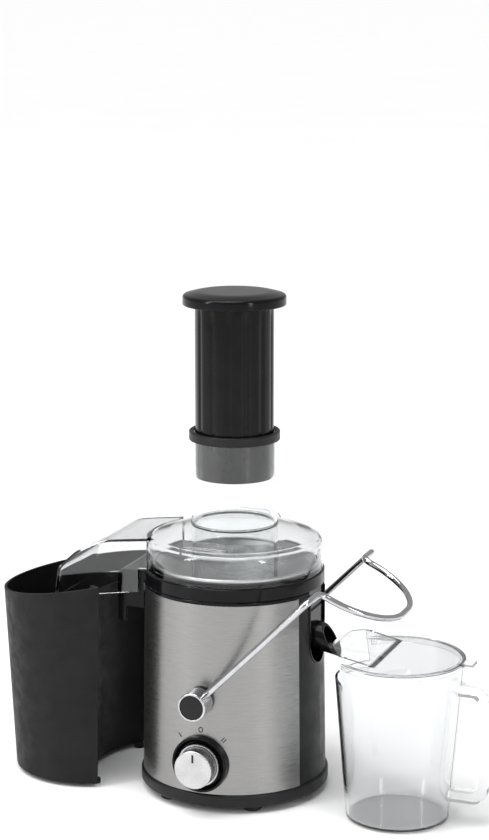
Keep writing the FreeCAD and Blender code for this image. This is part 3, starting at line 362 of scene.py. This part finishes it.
def build_sieve():
    """The perforated cone, a plain band at its top, and its seam strips."""
    low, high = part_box("filter_mesh")
    top_radius = high.x - SHEET
    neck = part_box("grater_disc")[1].x + NECK_GAP
    bottom, top = low.z + NECK_HEIGHT, high.z
    band_bottom = top - BAND_HEIGHT
    slope = (top_radius - neck) / (top - bottom)
    columns = int(math.tau * top_radius * 0.82 / HOLE_PITCH)
    rows = int(math.hypot(band_bottom - bottom, slope * (band_bottom - bottom)) / HOLE_PITCH)

    def at(column, row):
        height = bottom + (band_bottom - bottom) * row / rows
        angle = math.tau * column / columns
        reach = neck + slope * (height - bottom)
        return Vector((reach * math.cos(angle), reach * math.sin(angle), height))

    sieve = bmesh.new()
    grid = [[sieve.verts.new(at(c, r)) for c in range(columns)] for r in range(rows + 1)]
    margin = (1 - HOLE_SHARE) / 2
    for r in range(rows):
        for c in range(columns):
            d = (c + 1) % columns
            outer = [grid[r][c], grid[r][d], grid[r + 1][d], grid[r + 1][c]]
            spots = [(c + margin, r + margin), (c + 1 - margin, r + margin),
                     (c + 1 - margin, r + 1 - margin), (c + margin, r + 1 - margin)]
            hole = [sieve.verts.new(at(*spot)) for spot in spots]
            for k in range(4):
                m = (k + 1) % 4
                sieve.faces.new((outer[k], outer[m], hole[m], hole[k]))
    piece = add_piece("sieve", sieve, "filter", "mesh_steel", ["filter_mesh"], 60)
    thickness = piece.modifiers.new("sheet", "SOLIDIFY")
    thickness.thickness = SHEET
    thickness.offset = 0

    band_radius = top_radius - slope * BAND_HEIGHT
    lip = 0.3 * MM
    band = [(band_radius - lip, band_bottom), (band_radius + lip, band_bottom),
            (top_radius + lip, top), (top_radius - lip, top)]
    add_piece("sieve_band", lathe(bmesh.new(), band), "filter", "mesh_steel")

    inner, outer = neck - 0.4 * MM, neck + 0.2 * MM
    foot, head = low.z + 0.1 * MM, bottom + 0.5 * MM
    collar = [(inner, foot), (outer, foot), (outer, head), (inner, head)]
    add_piece("sieve_collar", lathe(bmesh.new(), collar), "filter", "mesh_steel")

    strips = bmesh.new()
    for i in range(SEAMS):
        turn = Matrix.Rotation(math.tau * i / SEAMS + FIRST_SEAM, 4, "Z")
        corners = []
        for reach, height in ((neck, bottom + 1 * MM), (band_radius, band_bottom)):
            for side in (-SEAM_HALF_WIDTH, SEAM_HALF_WIDTH):
                for lift in (-0.2 * MM, 0.3 * MM):
                    corners.append(strips.verts.new(
                        turn @ Vector((reach + lift, side, height))))
        a, b, c, d, e, f, g, h = corners
        for loop in ((a, b, d, c), (e, f, h, g), (a, b, f, e), (c, d, h, g),
                     (a, c, g, e), (b, d, h, f)):
            strips.faces.new(loop)
    add_piece("sieve_seams", strips, "filter", "mesh_steel")


TOOTH_RINGS = ((12.5, 11), (18, 16), (23, 21), (29.5, 26), (34, 30))
TOOTH_HEIGHT = 2.4 * MM
TOOTH_WIDTH = 1.5 * MM
PLATE_THICKNESS = 2 * MM
DOME_TOP_GAP = 3.2 * MM


def build_grater():
    """The domed grating disc with rings of leaning triangular teeth."""
    low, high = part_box("grater_disc")
    edge, rise = high.x, high.z - DOME_TOP_GAP
    plate = low.z + PLATE_THICKNESS
    shoulder, crown = edge * 0.65, edge * 0.56
    profile = rounded([
        (0, low.z, 0), (edge, low.z, 0.4 * MM), (edge, plate, 0.4 * MM),
        (shoulder, plate, 0.8 * MM), (crown, rise, 3.5 * MM), (0, rise + 1.2 * MM, 0)], 6)
    disc = lathe(bmesh.new(), profile, 120)
    for radius, count in TOOTH_RINGS:
        radius *= MM
        ground = plate if radius > shoulder else rise - 0.2 * MM
        for i in range(count):
            turn = Matrix.Rotation(math.tau * i / count + radius * 90, 4, "Z")
            lean = TOOTH_HEIGHT * random.uniform(0.4, 0.5)
            foot = [disc.verts.new(turn @ Vector((radius + x, y, ground - 0.3 * MM)))
                    for x, y in ((-TOOTH_WIDTH / 2, -TOOTH_WIDTH / 2),
                                 (TOOTH_WIDTH / 2, -TOOTH_WIDTH / 2), (0, TOOTH_WIDTH))]
            tip = disc.verts.new(turn @ Vector((radius, lean, ground + TOOTH_HEIGHT)))
            disc.faces.new(foot)
            for k in range(3):
                disc.faces.new((foot[k], foot[(k + 1) % 3], tip))
    add_piece("grating_disc", disc, "filter", "disc_steel", ["grater_disc"], 30)


# ---------------------------------------------------------------- front of the base

MARK_CIRCLE = 32 * MM
MARK_HEIGHT = 4.6 * MM
MARK_STROKE = 0.42 * MM
WRAP_LEAN = 2.6 * MM
MARK_ANGLES = {"one": -42, "zero": 0, "two": 42}


def build_marks():
    """The dial marks I, O and II, printed on the steel around the knob."""
    low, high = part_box("steel_wrap")
    bottom_reach = -low.y
    lean = WRAP_LEAN / (high.z - low.z)

    def on_steel(across, up):
        """A point on the steel sheet, from its place across and up from the knob's axis."""
        height = knob_centre.z + up
        reach = bottom_reach - lean * (height - low.z) + 0.02 * MM
        return Vector((across, -math.sqrt(reach ** 2 - across ** 2), height))

    for name, degrees in MARK_ANGLES.items():
        turn = math.radians(degrees)
        centre = Vector((MARK_CIRCLE * math.sin(turn), MARK_CIRCLE * math.cos(turn)))
        up = Vector((math.sin(turn), math.cos(turn)))
        side = Vector((up.y, -up.x))
        mark = bmesh.new()
        if name == "zero":
            points = [on_steel(*(centre + (side * math.cos(a) * 0.8 + up * math.sin(a))
                                 * MARK_HEIGHT / 2))
                      for a in (math.tau * k / 32 for k in range(32))]
            tube_along(mark, points, MARK_STROKE, closed=True)
        else:
            offsets = (0,) if name == "one" else (-1.1 * MM, 1.1 * MM)
            for offset in offsets:
                ends = [centre + side * offset + up * MARK_HEIGHT * s for s in (-0.5, 0.5)]
                points = [on_steel(*ends[0].lerp(ends[1], k / 6)) for k in range(7)]
                tube_along(mark, points, MARK_STROKE)
        add_piece("mark_" + name, mark, "base", "black_satin")


GRIP_RIBS = 60
RIB_DEPTH = 0.35 * MM
RING_BACK = 3.2 * MM
RING_WIDTH = 2.2 * MM
RING_THICKNESS = 1.6 * MM


def build_knob_ring():
    """Fine ribs around the knob's skirt, and a bright ring behind its face."""
    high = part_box("knob_core")[1]
    radius = high.x

    def ribs(angle, reach, height):
        """Even waves around the outside only."""
        return RIB_DEPTH * math.cos(GRIP_RIBS * angle) if reach > radius - 1 * MM else 0

    inner, outer, edge = radius - RING_THICKNESS, radius - 0.3 * MM, 0.3 * MM
    profile = rounded([(inner, 0, 0), (outer, 0, edge), (outer, RING_WIDTH, edge),
                       (inner, RING_WIDTH, 0)])
    ring = lathe(bmesh.new(), profile, 480, swell=ribs)
    ring.transform(Matrix.Translation((0, high.y - RING_BACK, knob_centre.z)) @ Matrix.Rotation(
        math.radians(90), 4, "X"))
    add_piece("knob_ribs", ring, "knob", "aluminium_face", sharp=60)


BEAD = 0.9 * MM


def build_lid_details():
    """A raised ring moulded where the tube meets the lid."""
    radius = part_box("feed_tube")[1].x
    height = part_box("lid_cover")[1].z + BEAD
    shape = bmesh.new()
    points = [Vector((radius * math.cos(a), radius * math.sin(a), height))
              for a in (math.tau * k / 120 for k in range(120))]
    tube_along(shape, points, BEAD, closed=True, sides=12)
    add_piece("tube_foot", shape, "lid", "clear_plastic")


build_pusher()
build_sieve()
build_grater()
build_marks()
build_knob_ring()
build_lid_details()


# ---------------------------------------------------------------- studio and camera

FLOOR_HALF = 60


def pale_floor():
    """A wide pale floor with the faintest sheen."""
    shader = Shader("studio_floor", 0.4)
    shader.surface.inputs["Specular IOR Level"].default_value = 0.05
    shader.colours(shader.noise(2, 2), (0.9, 0.9, 0.9), (0.91, 0.91, 0.91))
    shader.roughen(shader.noise(5, 2), 0.4, 0.44)
    mesh = bpy.data.meshes.new("floor")
    corners = [(-FLOOR_HALF, -FLOOR_HALF, 0), (FLOOR_HALF, -FLOOR_HALF, 0),
               (FLOOR_HALF, FLOOR_HALF, 0), (-FLOOR_HALF, FLOOR_HALF, 0)]
    mesh.from_pydata(corners, [], [(0, 1, 2, 3)])
    mesh.materials.append(shader.material)
    floor = bpy.data.objects.new("floor", mesh)
    floor.location.z = -0.2 * MM
    bpy.context.scene.collection.objects.link(floor)


def soft_light(name, place, aim, width, height, power):
    light = bpy.data.lights.new(name, "AREA")
    light.shape = "RECTANGLE"
    light.size, light.size_y, light.energy = width, height, power
    lamp = bpy.data.objects.new(name, light)
    lamp.location = place
    lamp.rotation_mode = "QUATERNION"
    lamp.rotation_quaternion = (Vector(aim) - Vector(place)).to_track_quat("-Z", "Y")
    bpy.context.scene.collection.objects.link(lamp)


def light_studio():
    world = bpy.data.worlds.new("studio")
    world.use_nodes = True
    background = world.node_tree.nodes["Background"]
    background.inputs["Color"].default_value = (1, 1, 1, 1)
    background.inputs["Strength"].default_value = 0.45
    bpy.context.scene.world = world
    sky = bpy.data.lights.new("sky", "SUN")
    sky.energy = 2.5
    sky.angle = math.radians(50)
    lamp = bpy.data.objects.new("sky", sky)
    lamp.rotation_euler = (math.radians(14), math.radians(-10), 0)
    bpy.context.scene.collection.objects.link(lamp)
    middle = (0, 0, 0.25)
    soft_light("key", (-1.3, -1.5, 1.2), middle, 0.3, 1.7, 20)
    soft_light("fill", (1.7, -1.1, 0.9), middle, 0.25, 1.5, 11)
    soft_light("top", (0, 0.2, 2.2), middle, 0.8, 0.8, 5)


CAMERA_AZIMUTH = math.radians(21)
CAMERA_DISTANCE = 2.0
CAMERA_HEIGHT = 0.765
AIM_HEIGHT = 0.3503
SIDE_STEP = 9.13 * MM


def set_camera():
    camera = bpy.data.objects.new("camera", bpy.data.cameras.new("camera"))
    camera.data.sensor_fit = "VERTICAL"
    camera.data.sensor_height = 36
    camera.data.lens = 95.1
    right = Vector((math.cos(CAMERA_AZIMUTH), math.sin(CAMERA_AZIMUTH), 0))
    back = Vector((math.sin(CAMERA_AZIMUTH), -math.cos(CAMERA_AZIMUTH), 0))
    aim = right * SIDE_STEP + Vector((0, 0, AIM_HEIGHT))
    camera.location = right * SIDE_STEP + back * CAMERA_DISTANCE + Vector((0, 0, CAMERA_HEIGHT))
    camera.rotation_mode = "QUATERNION"
    camera.rotation_quaternion = (aim - camera.location).to_track_quat("-Z", "Y")
    bpy.context.scene.collection.objects.link(camera)
    bpy.context.scene.camera = camera


pale_floor()
light_studio()
set_camera()
bpy.context.scene.view_settings.view_transform = "Standard"
